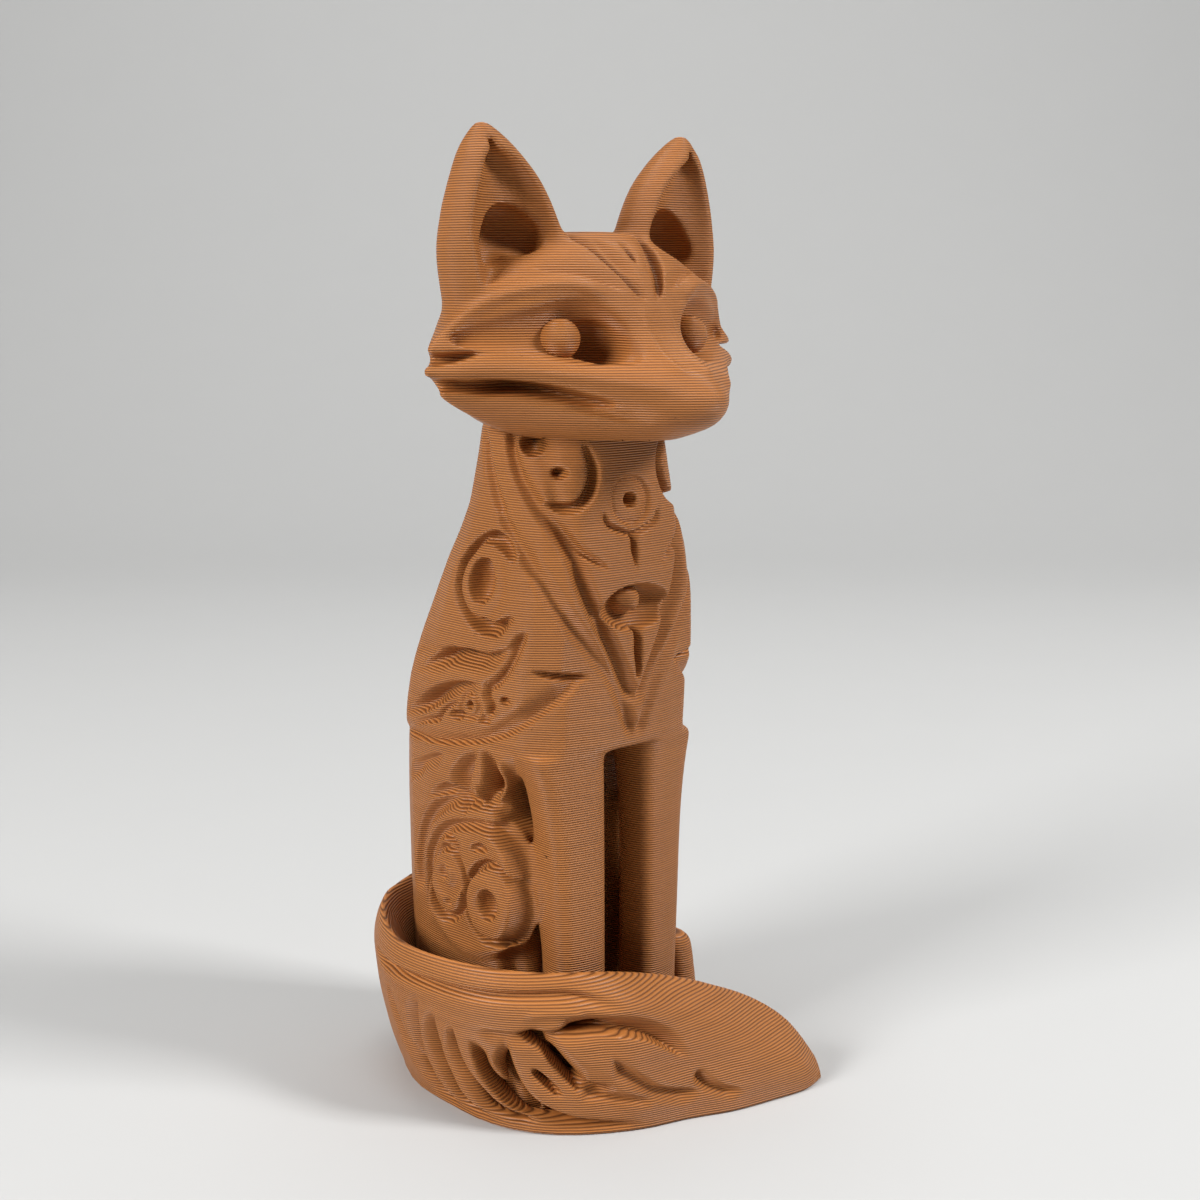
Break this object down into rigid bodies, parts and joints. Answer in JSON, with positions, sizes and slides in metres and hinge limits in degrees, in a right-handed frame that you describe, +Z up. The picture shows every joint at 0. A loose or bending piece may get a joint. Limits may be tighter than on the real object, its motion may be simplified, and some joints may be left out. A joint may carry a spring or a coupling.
{
  "type": "fox figurine",
  "caption": "Small sitting fox figurine with upright hollow ears, a pointed muzzle, a carved folk-ornament coat, and a long brush wrapped round its feet.",
  "frame": {"origin": "on the flat underside, in the fox's mirror plane, below the middle of the body", "axes": "+Z up from the floor to the ear tips, the fox looks along -Y, +X is the fox's own left side, where the tip of the brush points forward"},
  "size_m": [0.0358, 0.0373, 0.0822],
  "materials": {
    "printed_body": "matt copper brown with fine level layer lines"
  },
  "bodies": {
    "root": {"torso": "printed_body", "bib": "printed_body", "left_mantle": "printed_body", "right_mantle": "printed_body", "left_foreleg": "printed_body", "right_foreleg": "printed_body", "left_haunch": "printed_body", "right_haunch": "printed_body", "left_hind_foot": "printed_body", "right_hind_foot": "printed_body", "brush": "printed_body", "jaw": "printed_body", "head": "printed_body", "left_ear": "printed_body", "right_ear": "printed_body", "left_eye": "printed_body", "right_eye": "printed_body"}
  },
  "joints": []
}
